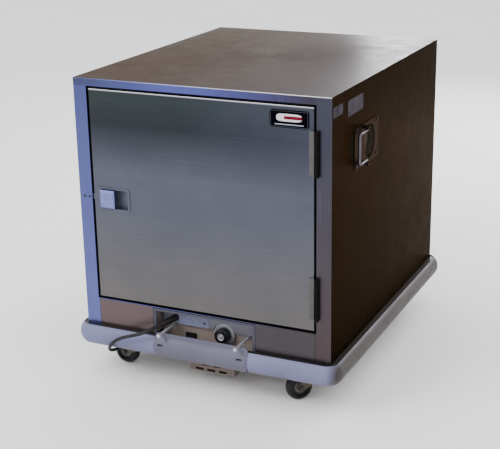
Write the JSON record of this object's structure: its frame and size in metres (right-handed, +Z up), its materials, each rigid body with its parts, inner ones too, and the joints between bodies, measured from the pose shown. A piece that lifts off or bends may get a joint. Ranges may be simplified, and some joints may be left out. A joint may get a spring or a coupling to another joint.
{
  "type": "proofing cabinet",
  "caption": "Undercounter insulated proofing cabinet on casters: hinged latched door, pan runners, heat module with thermostat below, wrap-round bumper and folding side handles.",
  "frame": {"origin": "on the floor, under the middle of the box that holds everything but the mains lead", "axes": "+X towards the hinge side, +Y from the door to the back, +Z up"},
  "size_m": [0.7, 0.8547, 0.75],
  "materials": {
    "stainless": "brushed, satin",
    "stainless_inner": "satin",
    "insulation": "matt fibre",
    "galvanised": "dull zinc",
    "bumper_vinyl": "semi-matt",
    "cover_steel": "satin",
    "bright_steel": "polished",
    "latch_chrome": "satin chrome",
    "black_plastic": "matt",
    "black_rubber": "matt",
    "tyre_black": "matt",
    "lamp_amber": "gloss",
    "heater_steel": "oxidised",
    "motor_paint": "satin",
    "fan_aluminium": "satin"
  },
  "bodies": {
    "cabinet": {"outer_shell": "stainless", "rear_panel": "stainless", "face_frame": "stainless", "base_panels": "stainless", "module_housing": "stainless", "control_panel": "stainless", "inner_liner": "stainless_inner", "slide_uprights": "stainless_inner", "pan_slides": "stainless_inner", "wall_insulation": "insulation", "chassis_base": "galvanised", "bumper_rail": "galvanised", "louvred_cover": "galvanised", "caster_plate_front_left": "galvanised", "caster_plate_front_right": "galvanised", "caster_fork_rear_left": "galvanised", "caster_fork_rear_right": "galvanised", "bumper_strip": "bumper_vinyl", "bumper_cover_plate": "cover_steel", "retaining_rods": "bright_steel", "hinge_pins": "bright_steel", "hinge_frame_leaves": "bright_steel", "latch_strike": "bright_steel", "handle_plate_left": "bright_steel", "handle_plate_right": "bright_steel", "panel_screws": "bright_steel", "caster_bolts": "bright_steel", "axles_rear": "bright_steel", "thermostat_dial": "black_plastic", "switch_bezel": "black_plastic", "mains_plug": "black_plastic", "strain_relief": "black_rubber", "mains_cord": "black_rubber", "cord_coil": "black_rubber", "pilot_lamp": "lamp_amber", "heating_element": "heater_steel", "blower_motor": "motor_paint"},
    "door": {"door_skin": "stainless", "door_inner_panel": "stainless_inner", "door_insulation": "insulation", "door_gasket": "black_rubber", "badge": "black_plastic", "latch_body": "latch_chrome", "hinge_door_leaves": "bright_steel"},
    "latch_paddle": {"latch_lever": "latch_chrome"},
    "latch_bolt": {"latch_tongue": "bright_steel"},
    "knob": {"thermostat_knob": "black_plastic"},
    "rocker": {"power_switch": "black_plastic"},
    "fan": {"fan_wheel": "fan_aluminium"},
    "humidity_pan": {"water_pan": "stainless_inner"},
    "bail_left": {"handle_bail_left": "bright_steel"},
    "bail_right": {"handle_bail_right": "bright_steel"},
    "swivel_front_left": {"caster_fork_front_left": "galvanised", "axle_front_left": "bright_steel"},
    "swivel_front_right": {"caster_fork_front_right": "galvanised", "axle_front_right": "bright_steel"},
    "tread_front_left": {"wheel_front_left": "tyre_black"},
    "tread_front_right": {"wheel_front_right": "tyre_black"},
    "tread_rear_left": {"wheel_rear_left": "tyre_black"},
    "tread_rear_right": {"wheel_rear_right": "tyre_black"}
  },
  "joints": [
    {"name": "door_hinge", "type": "hinge", "parent": "cabinet", "child": "door", "pos_m": [0.292, -0.3877, 0.45], "axis": [0, 0, 1], "range_deg": [0, 180]},
    {"name": "latch_lever_turn", "type": "hinge", "parent": "door", "child": "latch_paddle", "pos_m": [-0.262, -0.3805, 0.462], "axis": [0, 0, -1], "range_deg": [0, 45], "stiffness_Nm_per_rad": 0.3},
    {"name": "latch_tongue_slide", "type": "slide", "parent": "door", "child": "latch_bolt", "axis": [1, 0, 0], "range_m": [0, 0.0068]},
    {"name": "thermostat_turn", "type": "hinge", "parent": "cabinet", "child": "knob", "pos_m": [0.036, -0.3515, 0.143], "axis": [0, 1, 0], "range_deg": [0, 300]},
    {"name": "power_switch_rock", "type": "hinge", "parent": "cabinet", "child": "rocker", "pos_m": [-0.0575, -0.3335, 0.121], "axis": [0, 0, 1], "range_deg": [0, 14]},
    {"name": "fan_spin", "type": "hinge", "parent": "cabinet", "child": "fan", "pos_m": [0, -0.1465, 0.138], "axis": [0, 0, 1], "continuous": true},
    {"name": "water_pan_lift", "type": "slide", "parent": "cabinet", "child": "humidity_pan", "axis": [0, 0, 1], "range_m": [0, 0.04]},
    {"name": "bail_left_swing", "type": "hinge", "parent": "cabinet", "child": "bail_left", "pos_m": [-0.334, -0.1835, 0.6], "axis": [0, 0, -1], "range_deg": [0, 90]},
    {"name": "bail_right_swing", "type": "hinge", "parent": "cabinet", "child": "bail_right", "pos_m": [0.334, -0.1835, 0.6], "axis": [0, 0, 1], "range_deg": [0, 90]},
    {"name": "swivel_front_left_turn", "type": "hinge", "parent": "cabinet", "child": "swivel_front_left", "pos_m": [-0.237, -0.3045, 0.07], "axis": [0, 0, 1], "continuous": true},
    {"name": "wheel_front_left_roll", "type": "hinge", "parent": "swivel_front_left", "child": "tread_front_left", "pos_m": [-0.26094, -0.30283, 0.033], "axis": [0.0698, 0.9976, 0], "continuous": true},
    {"name": "swivel_front_right_turn", "type": "hinge", "parent": "cabinet", "child": "swivel_front_right", "pos_m": [0.237, -0.3045, 0.07], "axis": [0, 0, 1], "continuous": true},
    {"name": "wheel_front_right_roll", "type": "hinge", "parent": "swivel_front_right", "child": "tread_front_right", "pos_m": [0.22094, -0.32233, 0.033], "axis": [-0.7431, 0.6691, 0], "continuous": true},
    {"name": "wheel_rear_left_roll", "type": "hinge", "parent": "cabinet", "child": "tread_rear_left", "pos_m": [-0.237, 0.3215, 0.033], "axis": [1, 0, 0], "continuous": true},
    {"name": "wheel_rear_right_roll", "type": "hinge", "parent": "cabinet", "child": "tread_rear_right", "pos_m": [0.237, 0.3215, 0.033], "axis": [1, 0, 0], "continuous": true}
  ],
  "couplings": [
    {"joint": "latch_tongue_slide", "follows": "latch_lever_turn", "m_per_rad": 0.0085}
  ]
}
